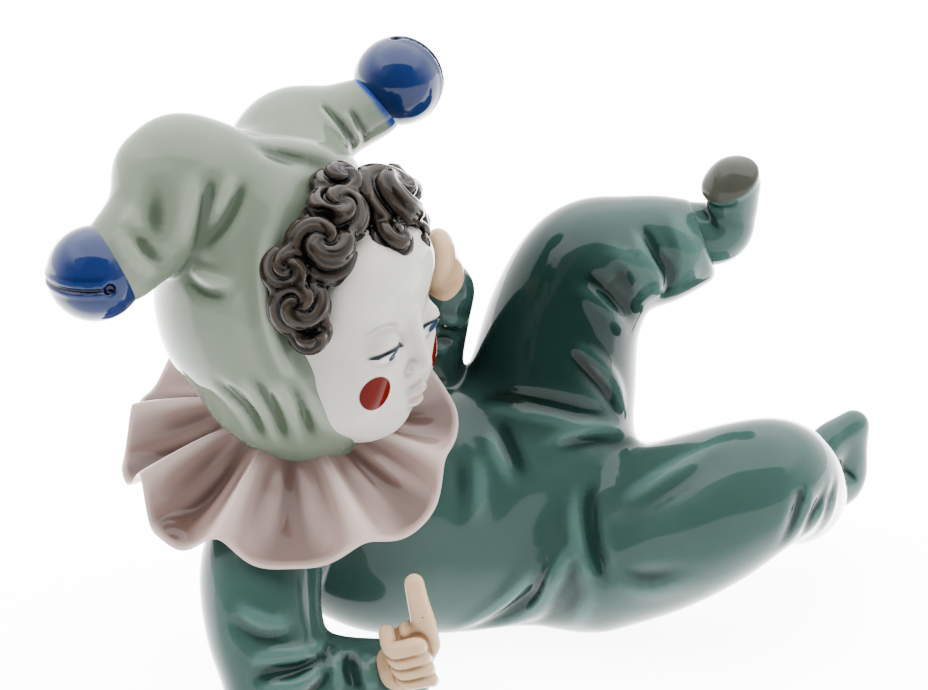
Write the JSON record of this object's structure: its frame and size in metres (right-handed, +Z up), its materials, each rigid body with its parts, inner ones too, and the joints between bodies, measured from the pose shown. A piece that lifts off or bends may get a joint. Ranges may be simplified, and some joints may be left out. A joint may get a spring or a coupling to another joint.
{
  "type": "clown figurine",
  "caption": "Glazed porcelain figurine of a clown boy in a jester's hood, lying on his side with one leg raised.",
  "frame": {"origin": "middle of the figure's bounding box, at the level of the flats that it rests on", "axes": "+X from the head to the feet, +Z up, and the chest faces -Y"},
  "size_m": [0.2086, 0.1166, 0.1529],
  "materials": {
    "suit_glaze": "teal green glaze, high gloss",
    "ruff_glaze": "dusty pink glaze, high gloss",
    "hood_glaze": "pale grey green glaze, high gloss",
    "bell_glaze": "royal blue glaze, high gloss",
    "face_glaze": "white glaze, high gloss",
    "hair_glaze": "brown glaze, high gloss",
    "hand_glaze": "tan glaze, high gloss"
  },
  "bodies": {
    "root": {"clown_figurine": "suit_glaze"}
  },
  "joints": []
}
